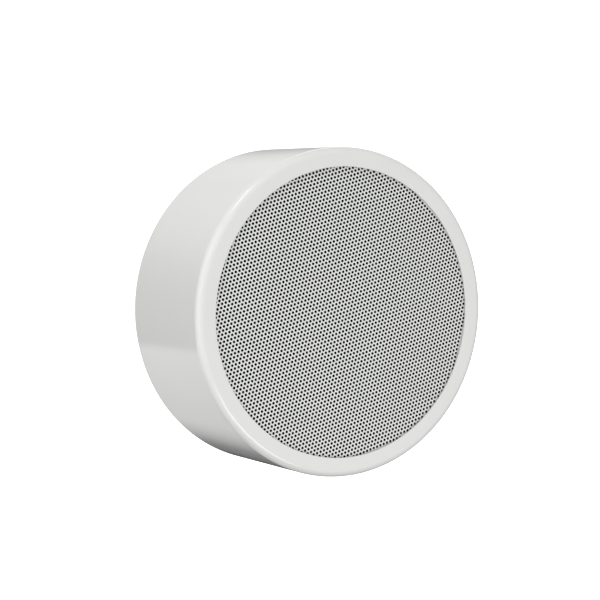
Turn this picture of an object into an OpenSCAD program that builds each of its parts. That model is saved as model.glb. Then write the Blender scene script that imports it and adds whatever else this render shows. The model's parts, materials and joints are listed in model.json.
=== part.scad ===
// Surface-mounted voice-alarm sounder: a steel drum with a perforated front, a cone loudspeaker,
// a line transformer with a tap switch, and a wall plate that the drum twists onto.
//
// Each piece is drawn as seen from the front, with x to the right, y up and z out of the wall,
// and on_wall() then stands it up, so that in the part's own frame the drum faces -Y and +Z is up.
// The origin is the centre of the wall plate's rear face.

/* [Drum] */
// Distance from the edge of the loudspeaker's flange to the outside of the drum
rim_w = 17.5; // [16:0.5:24]
// Thickness of the drum's steel
skin_t = 1.2; // [0.8:0.1:1.5]
// Outer radius of the rounded front edge
edge_r = 4.5; // [3:0.5:6]
// Width of the front rim, from the outside of the drum to the opening
lip_w = 12; // [10:0.5:13]
// Gap between the drum's rear edge and the wall
wall_gap = 0.6; // [0.3:0.1:1.2]

/* [Grille] */
// Thickness of the perforated sheet
sheet_t = 0.6; // [0.5:0.1:1.5]
// Thickness of the foam gasket between the rim and the sheet
foam_t = 0.8; // [0.5:0.1:1.5]
// Spacing of the holes; each stands for nine of the finished sheet's, which are 2.5 mm apart
hole_pitch = 7.5; // [6:0.5:12]
// Diameter of each hole, kept clearly under the wall screws' holes; the finished sheet's are 1.8 mm
hole_d = 4.5; // [3:0.1:5]
// Turn of the hole pattern about the drum's axis
hole_turn = -16; // [-30:1:30]
// Thickness of the acoustic cloth behind the sheet
cloth_t = 0.4; // [0.3:0.1:0.8]
// Thickness of the baffle ring that carries the loudspeaker
baffle_t = 7; // [6:0.5:12]

/* [Wall plate] */
// Thickness of the wall plate
plate_t = 1.5; // [1:0.1:2]
// Free depth between the wall plate and the bracket
rear_space = 12; // [10:0.5:20]
// Diameter of the circle of wall screws
screw_circle_d = 150; // [125:1:156]
// Diameter of the wall screw holes
screw_hole_d = 5.5; // [4:0.1:6]
// Spacing of the two slots for a flush wall box
box_spacing = 60; // [56:0.5:72]
// Width of those slots
slot_w = 4.5; // [3.5:0.1:5]
// End-to-end length of those slots
slot_l = 12; // [8:0.5:16]
// Diameter of the cable hole through the grommet
cable_d = 8; // [6:0.1:10]
// Height of the cable hole, from the centre of the plate
cable_y = -38; // [-42:1:-34]

/* [Twist lock] */
// Angle that one hook spans
hook_angle = 20; // [16:1:24]
// Angle that one lug spans
lug_angle = 12; // [8:1:14]
// Play between lug and hook along the drum's axis
lug_play = 0.6; // [0.4:0.1:1]

/* [Loudspeaker] */
// Diameter of the loudspeaker's mounting flange
driver_d = 165; // [130:1:200]
// Depth of the basket, from its base to the front of its flange
basket_h = 36.4; // [30:0.2:46]
// Thickness of the basket's steel
basket_t = 1.2; // [0.8:0.1:1.5]
// Thickness of the flange gasket
gasket_t = 1.2; // [1:0.1:2]
// Diameter of the ferrite ring
magnet_d = 84; // [70:1:101]
// Height of the ferrite ring
magnet_h = 14; // [11:0.5:20]
// Thickness of the two steel plates of the magnet system
pole_plate_t = 5; // [4:0.5:6]
// Inner diameter of the voice coil's former
coil_d = 25; // [23:0.5:30]
// Clearance on each side of the voice coil in the magnet gap
coil_gap = 0.5; // [0.3:0.05:0.8]
// Greatest travel of the cone, each way
cone_travel = 2.5; // [1:0.5:2.5]

/* [Electrics] */
// Thickness of the bracket behind the magnet
bracket_t = 1.5; // [1:0.1:2]
// Step of the bracket's terminal shelf towards the front
shelf_rise = 17; // [16:0.5:19]
// Height of the transformer's core
core_h = 34; // [28:1:35]
// Width of the transformer's core
core_w = 42; // [36:1:46]
// Thickness of the transformer's stack of plates
core_t = 15; // [12:0.5:18]
// Diameter of the tap switch's knob
knob_d = 17; // [12:0.5:20]
// Diameter of one insulated wire
wire_d = 1.6; // [1.2:0.1:2]

/* [Hidden] */
$fn = 96;
eps = 0.01;      // overshoot of a cut
slip = 0.1;      // radial clearance of a screw in its hole
free_gap = 0.3;  // least gap between pieces that move apart
glue = 0.1;      // thickness of a glue line

// Depths, measured out from the wall
bracket_z = plate_t + rear_space;
yoke_z = bracket_z + bracket_t;
magnet_z = yoke_z + pole_plate_t;
top_plate_z = magnet_z + magnet_h;
basket_z = top_plate_z + pole_plate_t;
flange_z = basket_z + basket_h;
baffle_z = flange_z + gasket_t;
cloth_z = baffle_z + baffle_t;
sheet_z = cloth_z + cloth_t;
foam_z = sheet_z + sheet_t;
lip_z = foam_z + foam_t;
front_z = lip_z + skin_t;

// Radii of the drum and of what it holds
driver_r = driver_d / 2;
drum_r = driver_r + rim_w;
bore_r = drum_r - skin_t;
opening_r = drum_r - lip_w;
sheet_r = drum_r - edge_r - 1;
baffle_r = sheet_r - 0.5;
stud_r = (opening_r + sheet_r) / 2 - 0.5;
stud_d = 4;
flange_screw_d = 3;
stud_angles = [45, 135, 225, 315];

// Radii of the loudspeaker
screw_r = driver_r - 4.5;
shoulder_r = driver_r - 12;
land_r = shoulder_r + 2;      // inner edge of the surround's glued land
land_w = 2;
roll_r = 5;                   // radius of the surround's half roll
cone_r = land_r - 2 * roll_r - 0.2;
magnet_r = magnet_d / 2;
pole_r = coil_d / 2 - coil_gap;
former_r = coil_d / 2 + 0.3;  // outside of the former
winding_r = former_r + 0.3;
gap_r = winding_r + coil_gap;
pole_plate_r = magnet_r - 7;
neck_z = basket_z + 9;        // where the cone meets the former
spider_z = basket_z + 6;
spider_r = 40;                // outer edge of the spider's shelf

// Twist lock
plate_r = bore_r - 0.8;
lock_angles = [90, 210, 330];
lug_z = plate_t + lug_play;
lug_t = 1.5;
hook_z = lug_z + lug_t + lug_play;
hook_t = 1.5;
hook_in_r = bore_r - 16.3;
hook_out_r = bore_r - 4.8;
lug_in_r = hook_in_r + hook_t + 2;
stop_angle = 2;

// Electrics
arm_w = 30;
shelf_y = -(magnet_r + 4);
shelf_l = bore_r + shelf_y - 9.8;
shelf_z = bracket_z + shelf_rise;
coil_y = (magnet_r + bore_r) / 2;   // centre of the transformer
pad_w = core_w + 26;
pad_l = 26;
foot_x = core_w / 2 + 6.5;
foot_screw_d = 3.5;
block_x = -14;
block_y = shelf_y - 24;
block_size = [30, 18, 16];
block_screw_d = 3;
pole_pitch = 9.5;
well_y = 4.5;                 // offset of a terminal screw from the block's middle
wire_drop = 8;                // from the shelf to the terminal block's wire holes
wire_hole_z = shelf_z - wire_drop;
knob_x = 17;
knob_y = shelf_y - 22;
knob_h = 10;
shaft_d = 4;
bush_d = 9;
shaft_play = 0.05;            // running clearance of the knob's shaft in its bush
switch_h = 9;
tag_h = 3;
tag_circle_r = 8;
core_z = yoke_z;              // the core stands on the bracket
leg_w = core_w / 4;
bobbin_w = leg_w * 3 - 1;
bobbin_l = core_t + 12;
bobbin_z = core_z + leg_w / 2 + 0.1;
bobbin_h = core_h - leg_w - 0.2;

// ---------- helpers ----------

module on_wall() {
  rotate([90, 0, 0]) children();
}

module at(angles, r) {
  for (a = angles) rotate(a) translate([r, 0, 0]) children();
}

// A ring from radius r1 to r2, rising h from z
module ring(r1, r2, z, h) {
  translate([0, 0, z]) linear_extrude(h) difference() {
    circle(r = r2);
    circle(r = r1);
  }
}

// A stretch of ring from angle a, spanning the angle span
module arc_block(r1, r2, z, h, a, span) {
  rotate(a) rotate_extrude(angle = span) translate([r1, z]) square([r2 - r1, h]);
}

module hole(d, z, h) {
  translate([0, 0, z - eps]) cylinder(d = d, h = h + 2 * eps);
}

module slot_hole(l, w, z, h) {
  translate([0, 0, z - eps]) linear_extrude(h + 2 * eps) rounded_rect(l, w, w / 2);
}

// Circles at the corners and two bars between them, so that the corners stay true arcs
module rounded_rect(w, l, r) {
  for (x = [-1, 1], y = [-1, 1]) translate([x * (w / 2 - r), y * (l / 2 - r)]) circle(r = r, $fn = 48);
  square([w - 2 * r, l], center = true);
  if (l > 2 * r) square([w, l - 2 * r], center = true);
}

// A hex nut standing on z = 0
module nut(across, h, bore) {
  difference() {
    cylinder(d = across / cos(30), h = h, $fn = 6);
    hole(bore, 0, h);
  }
}

// A pan-head screw: head up from z = 0, shank down, with a cross recess
module pan_screw(head_d, head_h, shank_d, shank_l) {
  recess_w = head_d / 7;
  difference() {
    union() {
      cylinder(d = head_d, h = head_h * 0.6);
      translate([0, 0, head_h * 0.6]) cylinder(d1 = head_d, d2 = head_d * 0.7, h = head_h * 0.4);
      translate([0, 0, -shank_l]) cylinder(d = shank_d, h = shank_l + eps);
    }
    for (a = [0, 90]) rotate(a) translate([0, 0, head_h])
      cube([head_d * 0.6, recess_w, head_h], center = true);
  }
}

// A smooth curve through points, with the given number of steps between each pair
function spline_point(a, b, c, d, t) =
  0.5 * (2 * b + (c - a) * t + (2 * a - 5 * b + 4 * c - d) * t * t
  + (3 * b - a - 3 * c + d) * t * t * t);
function spline(points, steps) = let (n = len(points)) [
  for (i = [0:n - 2], k = [0:steps - 1])
    spline_point(points[max(i - 1, 0)], points[i], points[i + 1], points[min(i + 2, n - 1)],
      k / steps),
  points[n - 1]
];
function unit(v) = v / norm(v);

// A round wire along a smooth curve; its ends are square to the first and the last stretch
module wire(points, d, steps = 4, sides = 8) {
  path = spline(points, steps);
  n = len(path);
  last = len(points) - 1;
  along = [for (i = [0:n - 1])
    i == 0 ? unit(points[1] - points[0])
    : i == n - 1 ? unit(points[last] - points[last - 1])
    : unit(path[i + 1] - path[i - 1])];
  start = unit(cross(along[0], abs(along[0][2]) < 0.9 ? [0, 0, 1] : [1, 0, 0]));
  side = [for (i = 0, u = start; i < n; i = i + 1, u = i < n ? unit(u - (u * along[i]) * along[i]) : u) u];
  rings = [for (i = [0:n - 1], k = [0:sides - 1]) let (a = 360 * k / sides)
    path[i] + d / 2 * (cos(a) * side[i] + sin(a) * cross(along[i], side[i]))];
  walls = [
    for (i = [0:n - 2], k = [0:sides - 1]) let (k2 = (k + 1) % sides)
      for (f = [[i * sides + k, i * sides + k2, (i + 1) * sides + k2],
                [i * sides + k, (i + 1) * sides + k2, (i + 1) * sides + k]]) f
  ];
  ends = [[for (k = [0:sides - 1]) sides - 1 - k], [for (k = [0:sides - 1]) (n - 1) * sides + k]];
  polyhedron(rings, concat(walls, ends));
}

// ---------- wall plate ----------

ridge_r = 58;
ridge_w = 8;
ridge_h = 1.2;
grommet_hole_d = cable_d + 10;
earth_x = 44;
earth_y = -30;

module wall_plate() {
  color("silver") difference() {
    union() {
      cylinder(r = plate_r, h = plate_t);
      ring(ridge_r, ridge_r + ridge_w, plate_t, ridge_h);
      for (a = lock_angles) hook(a);
    }
    ring(ridge_r + ridge_h, ridge_r + ridge_w - ridge_h, -eps, ridge_h + eps);
    at(stud_angles, screw_circle_d / 2) hole(screw_hole_d, 0, plate_t);
    for (s = [-1, 1]) translate([s * box_spacing / 2, 0])
      slot_hole(slot_l, slot_w, 0, plate_t);
    translate([0, cable_y]) hole(grommet_hole_d, 0, plate_t);
    translate([earth_x, earth_y]) hole(stud_d + 2 * slip, 0, plate_t);
  }
}

// One raised hook: a leg on the plate, a flange over the lug, and an end stop
module hook(a) {
  start = a - hook_angle / 2;
  arc_block(hook_in_r, hook_in_r + hook_t, 0, hook_z + hook_t, start, hook_angle);
  arc_block(hook_in_r, hook_out_r, hook_z, hook_t, start, hook_angle);
  arc_block(hook_in_r, hook_out_r, 0, hook_z + hook_t, start, stop_angle);
}

grommet_flange = 2;

module cable_grommet() {
  groove_r = grommet_hole_d / 2 - slip;
  lip_r = groove_r + 2.5;
  h = grommet_flange;
  color("dimgray") translate([0, cable_y]) rotate_extrude() polygon([
    [cable_d / 2, 0], [groove_r, 0], [groove_r, plate_t], [lip_r, plate_t],
    [lip_r, plate_t + h], [cable_d / 2 + 1.5, plate_t + h + 3], [cable_d / 2, plate_t + h + 3]
  ]);
}

module earth_washer() {
  color("gold") translate([earth_x, earth_y]) ring(stud_d / 2 + slip, stud_d, plate_t, 0.8);
}

module earth_screw() {
  color("gold") translate([earth_x, earth_y, plate_t + 0.8])
    pan_screw(7.5, 2.8, stud_d, plate_t + 0.8);
}

// ---------- drum ----------

module housing() {
  inner_r = edge_r - skin_t;
  color("white") rotate_extrude($fn = 180) difference() {
    union() {
      translate([0, wall_gap]) square([drum_r, front_z - edge_r - wall_gap]);
      translate([0, front_z - edge_r]) square([drum_r - edge_r, edge_r]);
      translate([drum_r - edge_r, front_z - edge_r]) circle(r = edge_r);
    }
    translate([-eps, wall_gap - eps]) square([bore_r + eps, lip_z - inner_r - wall_gap + eps]);
    translate([-eps, wall_gap]) square([bore_r - inner_r + eps, lip_z - wall_gap]);
    translate([bore_r - inner_r, lip_z - inner_r]) circle(r = inner_r);
    translate([-eps, 0]) square([opening_r + eps, front_z + 1]);
    translate([-drum_r, 0]) square([drum_r, front_z + 1]);
  }
}

// Lugs welded inside the skirt: a foot against the skin and a tongue that runs under the hook
module bayonet_lugs() {
  start = -hook_angle / 2 + stop_angle + 0.3;
  foot_h = 9;
  color("silver") for (a = lock_angles) {
    arc_block(lug_in_r, bore_r, lug_z, lug_t, a + start, lug_angle);
    arc_block(bore_r - skin_t, bore_r, lug_z, foot_h, a + start, lug_angle);
  }
}

stud_l = foam_t + sheet_t + cloth_t + baffle_t + 6;
washer_t = 0.8;
nut_h = 3.2;

module front_studs() {
  color("silver") at(stud_angles, stud_r) translate([0, 0, lip_z - stud_l])
    cylinder(d = stud_d, h = stud_l, $fn = 32);
}

module stud_washers() {
  color("silver") at(stud_angles, stud_r)
    ring(stud_d / 2 + slip, 4.2, baffle_z - washer_t, washer_t);
}

module stud_nuts() {
  color("silver") at(stud_angles, stud_r) translate([0, 0, baffle_z - washer_t - nut_h])
    nut(7, nut_h, stud_d + 2 * slip);
}

// Holes for the studs through the whole front stack
module stud_holes(z, h) {
  at(stud_angles, stud_r) hole(stud_d + 2 * slip, z, h);
}

module grille() {
  n = ceil(sheet_r / hole_pitch) + 1;
  edge = 2;
  clear = stud_d / 2 + hole_d / 2 + 1;
  studs = [for (a = stud_angles) stud_r * [cos(a), sin(a)]];
  turn = [[cos(hole_turn), -sin(hole_turn)], [sin(hole_turn), cos(hole_turn)]];
  color("gainsboro") translate([0, 0, sheet_z]) linear_extrude(sheet_t) difference() {
    circle(r = sheet_r, $fn = 180);
    for (i = [-2 * n:2 * n], j = [-n:n]) {
      p = turn * (hole_pitch * [i + j / 2, j * sqrt(3) / 2]);
      if (norm(p) < sheet_r - hole_d / 2 - edge && min([for (s = studs) norm(p - s)]) > clear)
        translate(p) circle(d = hole_d, $fn = 24);
    }
    at(stud_angles, stud_r) circle(d = stud_d + 2 * slip, $fn = 32);
  }
}

// Self-adhesive foam that keeps the sheet from rattling against the rim
module grille_gasket() {
  set_back = 0.6;
  color("black") difference() {
    ring(opening_r + set_back, sheet_r, foam_z, foam_t);
    stud_holes(foam_z, foam_t);
  }
}

module acoustic_cloth() {
  color("black") difference() {
    translate([0, 0, cloth_z]) cylinder(r = baffle_r, h = cloth_t);
    stud_holes(cloth_z, cloth_t);
  }
}

module baffle_ring() {
  bite = 5;
  color("dimgray") difference() {
    ring(land_r + 0.5, baffle_r, baffle_z, baffle_t);
    stud_holes(baffle_z, baffle_t);
    at(stud_angles, screw_r)
      hole(flange_screw_d + 2 * slip, baffle_z, bite);
  }
}

// ---------- loudspeaker ----------

seat_r = 31;     // base of the basket, on the top plate
n_windows = 6;

// The basket's pressed profile: base, spider shelf, sloping wall, shoulder and flange
module basket() {
  shelf = basket_z + 5;
  slope_z = flange_z - 9.4;
  t = basket_t;
  color("dimgray") difference() {
    rotate_extrude() polygon([
      [gap_r + 2, basket_z], [seat_r, basket_z], [seat_r, shelf - t], [spider_r, shelf - t],
      [shoulder_r + t, slope_z], [shoulder_r + t, flange_z - t], [driver_r, flange_z - t],
      [driver_r, flange_z], [shoulder_r, flange_z], [shoulder_r, slope_z + t / 2],
      [spider_r - t / 2, shelf], [seat_r - t, shelf], [seat_r - t, basket_z + t],
      [gap_r + 2, basket_z + t]
    ]);
    for (k = [0:n_windows - 1])
      arc_block(spider_r + 4, shoulder_r - 4, basket_z, basket_h, k * 60 - 19, 38);
    at(stud_angles, screw_r)
      hole(flange_screw_d + 2 * slip, flange_z - t, t);
  }
}

module basket_gasket() {
  color("dimgray") difference() {
    ring(land_r + land_w + 0.3, driver_r - 0.5, flange_z, gasket_t);
    at(stud_angles, screw_r)
      hole(flange_screw_d + 2 * slip, flange_z, gasket_t);
  }
}

// Self-tapping screws from behind, through the flange into the baffle
module basket_screws() {
  color("silver") at(stud_angles, screw_r)
    translate([0, 0, flange_z - basket_t]) rotate([180, 0, 0])
      pan_screw(6.5, 2.2, flange_screw_d, basket_t + gasket_t + 4.5);
}

// A rubber half roll between a land on the flange and a lip on the cone
module surround() {
  t = 0.5;
  mid_r = land_r - roll_r;
  color("black") rotate_extrude() {
    translate([land_r - t, flange_z]) square([land_w + t, t]);
    translate([mid_r, flange_z]) difference() {
      circle(r = roll_r);
      circle(r = roll_r - t);
      translate([-roll_r - 1, -2 * roll_r]) square([2 * roll_r + 2, 2 * roll_r]);
    }
  }
}

spider_t = 0.5;

// A disc of treated cloth with round corrugations, from the coil's former to the basket's shelf
module spider() {
  inner = former_r + 0.15;
  glue_w = 4;
  shelf = basket_z + 5;
  waves = 4;
  steps = 40;
  wave_in = inner + 3;
  wave_out = seat_r - basket_t - 0.5;
  function rise(r) = 0.8 * sin(360 * waves * (r - wave_in) / (wave_out - wave_in));
  line = [for (k = [0:steps]) let (r = wave_in + (wave_out - wave_in) * k / steps)
    [r, shelf + rise(r)]];
  color("goldenrod") rotate_extrude() polygon(concat(
    [[inner, shelf]], line, [[seat_r + glue_w, shelf], [seat_r + glue_w, shelf + spider_t]],
    [for (k = [steps:-1:0]) line[k] + [0, spider_t]], [[inner, shelf + spider_t]]
  ));
}

cone_t = 0.6;

function cone_z(r) = neck_z + (flange_z - 0.8 - neck_z)
  * (r - former_r) / (cone_r - former_r);

module cone() {
  rim = cone_r;
  ribs = [for (k = [1:3]) former_r + 10 + 11 * k];
  color("black") union() {
    rotate_extrude() polygon([
      [former_r, neck_z], [rim, cone_z(rim)], [rim, cone_z(rim) + cone_t],
      [former_r, neck_z + cone_t]
    ]);
    for (r = ribs) ring(r - 0.5, r + 0.5, cone_z(r) + cone_t / 2, 0.8);
  }
}

cap_r = 20;

module dust_cap() {
  rise = 6;
  t = 0.5;
  seat = cone_z(cap_r) + cone_t + glue;
  ball = (cap_r * cap_r + rise * rise) / (2 * rise);
  color("black") intersection() {
    translate([0, 0, seat + rise - ball]) difference() {
      sphere(r = ball);
      sphere(r = ball - t);
    }
    translate([0, 0, seat]) cylinder(r = cap_r + 1, h = rise + 1);
  }
}

module coil_former() {
  overhang = cone_travel;   // past the winding at the bottom, and past the cone's neck at the top
  color("tan") ring(coil_d / 2, former_r, top_plate_z - overhang,
    neck_z + 2 * overhang - top_plate_z);
}

module voice_coil() {
  color("chocolate") ring(former_r, winding_r, top_plate_z - 1.5, pole_plate_t + 3);
}

module top_plate() {
  color("silver") ring(gap_r, pole_plate_r, top_plate_z, pole_plate_t);
}

module magnet() {
  color("dimgray") ring(gap_r + 5, magnet_r, magnet_z, magnet_h);
}

bolt_d = 5;
bolt_l = 9;

module pole_yoke() {
  color("silver") difference() {
    union() {
      translate([0, 0, yoke_z]) cylinder(r = pole_plate_r, h = pole_plate_t);
      translate([0, 0, yoke_z]) cylinder(r = pole_r, h = basket_z - yoke_z);
    }
    hole(bolt_d + 2 * slip, yoke_z, bolt_l + 1);
  }
}

board_w = 18;
board_l = 10;
board_t = 1.6;
board_z = flange_z - basket_t - board_t;
tag_x = shoulder_r + basket_t + 3.5;
tag_y = 5;
tag_t = 0.5;
rivet_d = 2;

// The insulating board under the basket's flange
module tag_board() {
  color("saddlebrown") difference() {
    translate([shoulder_r + basket_t + glue, -board_w / 2, board_z])
      cube([board_l, board_w, board_t]);
    for (s = [-1, 1]) translate([tag_x, s * tag_y]) hole(rivet_d + 2 * slip, board_z, board_t);
  }
}

// Two tags, each with the rivet that holds it to the board
module solder_tags() {
  color("gold") for (s = [-1, 1]) translate([tag_x, s * tag_y, board_z]) {
    translate([-2, -1.75, -tag_t]) cube([12, 3.5, tag_t]);
    cylinder(d = rivet_d, h = board_t, $fn = 24);
  }
}

// Flexible leads from the tags, through a window of the basket, to the back of the cone
module tinsel_leads() {
  span = cone_r - former_r;
  in_r = former_r + 0.525 * span;
  mid_r = former_r + 0.77 * span;
  color("peru") for (s = [-1, 1]) wire([
    [tag_x - 1, s * tag_y, board_z - tag_t], [tag_x - 1, s * tag_y, board_z - tag_t - 3],
    [shoulder_r + 2.5, s * tag_y, board_z - 6], [shoulder_r - 8, s * tag_y, board_z - 16],
    [mid_r, s * (tag_y + 1), cone_z(in_r) - 3], [in_r, s * tag_y, cone_z(in_r) - 0.8]
  ], 1, sides = 6);
}

// ---------- bracket and electrics ----------

module bracket() {
  top = bracket_z;
  color("silver") difference() {
    union() {
      translate([-arm_w / 2, shelf_y, top]) cube([arm_w, coil_y - shelf_y, bracket_t]);
      translate([-pad_w / 2, coil_y - pad_l / 2, top]) cube([pad_w, pad_l, bracket_t]);
      translate([-arm_w / 2, shelf_y - bracket_t, top]) cube([arm_w, bracket_t, shelf_rise + bracket_t]);
      translate([-34, shelf_y - shelf_l, shelf_z]) cube([68, shelf_l, bracket_t]);
    }
    hole(bolt_d + 2 * slip, top, bracket_t);
    for (s = [-1, 1]) translate([s * foot_x, coil_y]) hole(foot_screw_d + 2 * slip, top, bracket_t);
    translate([knob_x, knob_y]) hole(bush_d + 2 * slip, shelf_z, bracket_t);
    for (s = [-1, 1]) translate([block_x + s * pole_pitch / 2, block_y])
      hole(block_screw_d + 2 * slip, shelf_z, bracket_t);
  }
}

module bracket_screw() {
  color("silver") translate([0, 0, bracket_z]) rotate([180, 0, 0])
    pan_screw(10, 3.5, bolt_d, bracket_t + bolt_l);
}

// Stacked plates: an outer frame with a centre leg, and two windows for the winding
module transformer_core() {
  color("gray") translate([0, coil_y + core_t / 2, core_z]) rotate([90, 0, 0]) linear_extrude(core_t)
    difference() {
      translate([-core_w / 2, 0]) square([core_w, core_h]);
      for (s = [-1, 1]) translate([s * leg_w - leg_w / 2, leg_w / 2])
        square([leg_w, core_h - leg_w]);
    }
}

wall_w = 1;          // wall of the bobbin
fit_gap = 0.1;       // bobbin on the core, strap round the core
pin_pitch = 4;
pin_n = 7;
pin_y = coil_y - bobbin_l / 2 + 2;
pin_z = bobbin_z + bobbin_h;
pin_h = 2.5;

module transformer_bobbin() {
  inner_w = leg_w + 2 * fit_gap;
  inner_l = core_t + 2 * fit_gap;
  color("ivory") translate([0, coil_y, bobbin_z]) linear_extrude_with_flanges() {
    square([inner_w + 2 * wall_w, inner_l + 2 * wall_w], center = true);
    square([bobbin_w, bobbin_l], center = true);
    square([inner_w, inner_l], center = true);
  }
}

// Children: the tube's outline, the flanges' outline and the bore's outline
module linear_extrude_with_flanges() {
  difference() {
    union() {
      for (z = [0, bobbin_h - wall_w]) translate([0, 0, z]) linear_extrude(wall_w) children(1);
      linear_extrude(bobbin_h) children(0);
    }
    translate([0, 0, -eps]) linear_extrude(bobbin_h + 2 * eps) children(2);
  }
}

// Solder pins on the bobbin's upper flange, on the side towards the drum's centre
module transformer_pins() {
  color("gold") for (k = [0:pin_n - 1])
    translate([(k - (pin_n - 1) / 2) * pin_pitch, pin_y, pin_z]) cylinder(d = 1, h = pin_h, $fn = 24);
}

module transformer_winding() {
  h = bobbin_h - 2 * wall_w - 0.2;
  color("orange") translate([0, coil_y, bobbin_z + wall_w + 0.1]) linear_extrude(h) difference() {
    rounded_rect(bobbin_w - 1, bobbin_l - 2, 2);
    square([leg_w + 2 * (fit_gap + wall_w) + 0.2, core_t + 2 * (fit_gap + wall_w) + 0.2], center = true);
  }
}

frame_t = 1;

// A steel strap over the core, with a drilled foot on each side
module transformer_frame() {
  w = core_t - 2;
  x = core_w / 2 + fit_gap;
  foot = 12;
  top = core_h + fit_gap;
  color("silver") translate([0, coil_y + w / 2, core_z]) rotate([90, 0, 0]) difference() {
    linear_extrude(w) union() {
      translate([-x - frame_t, top]) square([2 * (x + frame_t), frame_t]);
      for (s = [-1, 1]) translate([s * (x + frame_t / 2), 0]) {
        translate([-frame_t / 2, 0]) square([frame_t, top + frame_t]);
        translate([s * foot / 2 - foot / 2, 0]) square([foot, frame_t]);
      }
    }
    for (s = [-1, 1]) translate([s * foot_x, -eps, w / 2]) rotate([-90, 0, 0])
      cylinder(d = foot_screw_d + 2 * slip, h = frame_t + 2 * eps);
  }
}

module transformer_screws() {
  color("silver") for (s = [-1, 1]) translate([s * foot_x, coil_y, bracket_z])
    rotate([180, 0, 0]) pan_screw(6.5, 2.4, foot_screw_d, bracket_t + 6);
}

module transformer_nuts() {
  color("silver") for (s = [-1, 1]) translate([s * foot_x, coil_y, core_z + frame_t])
    nut(6, 2.6, foot_screw_d + 2 * slip);
}

// Ceramic block for the line cable, with a well over each screw and a wire hole through each pole
module terminal_block() {
  size = block_size;
  color("white") translate([block_x, block_y, shelf_z - size[2]]) difference() {
    linear_extrude(size[2]) rounded_rect(size[0], size[1], 1);
    for (k = [-1:1]) translate([k * pole_pitch, 0]) {
      for (s = [-1, 1]) translate([0, s * well_y]) hole(4.6, 0, 6);
      translate([0, size[1] / 2 + eps, size[2] - wire_drop]) rotate([90, 0, 0])
        cylinder(d = insert_d + 2 * slip, h = size[1] + 2 * eps);
    }
    for (s = [-1, 1]) translate([s * pole_pitch / 2, 0]) hole(block_screw_d + 2 * slip, 0, size[2]);
  }
}

insert_d = 5;
clamp_d = 2.8;   // terminal screw

module terminal_inserts() {
  l = block_size[1] - 2;
  color("gold") for (k = [-1:1])
    translate([block_x + k * pole_pitch, block_y + l / 2, wire_hole_z])
      rotate([90, 0, 0]) difference() {
        cylinder(d = insert_d, h = l);
        hole(3, 0, l);
        for (s = [-1, 1]) translate([0, 0, l / 2 + s * well_y]) rotate([90, 0, 0])
          cylinder(d = clamp_d + 2 * slip, h = insert_d);
      }
}

module terminal_screws() {
  h = 4.2;
  color("silver") for (k = [-1:1], s = [-1, 1])
    translate([block_x + k * pole_pitch, block_y + s * well_y, wire_hole_z - 6])
      difference() {
        cylinder(d = clamp_d, h = h, $fn = 32);
        translate([-2, -0.3, -eps]) cube([4, 0.6, 1]);
      }
}

// Tag k of the switch, where a wire ends
function switch_tag(k) = [
  knob_x + tag_circle_r * cos(30 + 30 * k), knob_y + tag_circle_r * sin(30 + 30 * k),
  shelf_z + bracket_t + switch_h + tag_h
];

// Rotary switch in front of the shelf, with its bush through the shelf
module tap_switch() {
  tags = 5;
  bush_l = bracket_t + 3;
  color("darkslategray") {
    translate([knob_x, knob_y, shelf_z + bracket_t]) {
      linear_extrude(switch_h) rounded_rect(22, 22, 2);
      translate([0, 0, -bush_l]) difference() {
        cylinder(d = bush_d, h = bush_l);
        hole(shaft_d + 2 * shaft_play, 0, bush_l - eps);
      }
    }
    for (k = [0:tags - 1]) translate(switch_tag(k) - [0, 0, tag_h]) cylinder(d = 1.4, h = tag_h, $fn = 24);
  }
}

module switch_nut() {
  color("silver") translate([knob_x, knob_y, shelf_z - 2]) nut(12, 2, bush_d + 2 * slip);
}

// The knob with its shaft, which turns in the switch's bush
module tap_knob() {
  top = shelf_z - 3 - free_gap;
  color("dimgray") translate([knob_x, knob_y, top - knob_h]) difference() {
    union() {
      cylinder(d = knob_d, h = knob_h);
      cylinder(d = shaft_d, h = shelf_z + bracket_t - 0.5 - (top - knob_h));
      for (k = [0:11]) rotate(k * 30) translate([knob_d / 2, 0, 0])
        cylinder(d = 1.6, h = knob_h, $fn = 24);
    }
    translate([knob_d / 6, -1, -eps]) cube([knob_d / 3, 2, 1]);
  }
}

cap_size = [18, 8, 12];
cap_y = shelf_y - 14;
fuse_l = 12;
fuse_y = block_y - 6;
fuse_z = shelf_z + bracket_t + 2.2;

module capacitor() {
  color("firebrick") translate([block_x, cap_y, shelf_z + bracket_t])
    linear_extrude(cap_size[2]) rounded_rect(cap_size[0], cap_size[1], 0.8);
}

module thermal_fuse() {
  color("silver") translate([block_x - fuse_l / 2, fuse_y, fuse_z]) rotate([0, 90, 0])
    cylinder(d = 4, h = fuse_l);
}

loom_r = max(magnet_r, spider_r + 2) + 9;    // the looms pass the magnet and the spider's shelf
loom_z = magnet_z + 14;
lay = wire_d + 0.5;       // spacing of wires in a loom

// The place of wire k in a loom: the wires lie on one another, the first nearest the wall
function layer(k) = [0, 0, k * lay];

lead = [0, 0, 2];         // straight stretch of a wire at a pin or a tag

function pin(k) = [(k - (pin_n - 1) / 2) * pin_pitch, pin_y, pin_z + pin_h];

// The last points of a wire that comes down onto a pin or a tag from the given side
function landing(p, side, up) = [p + lead + up + side, p + lead + up, p];
function take_off(p, side, up) = let (l = landing(p, side, up)) [l[2], l[1], l[0]];

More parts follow.
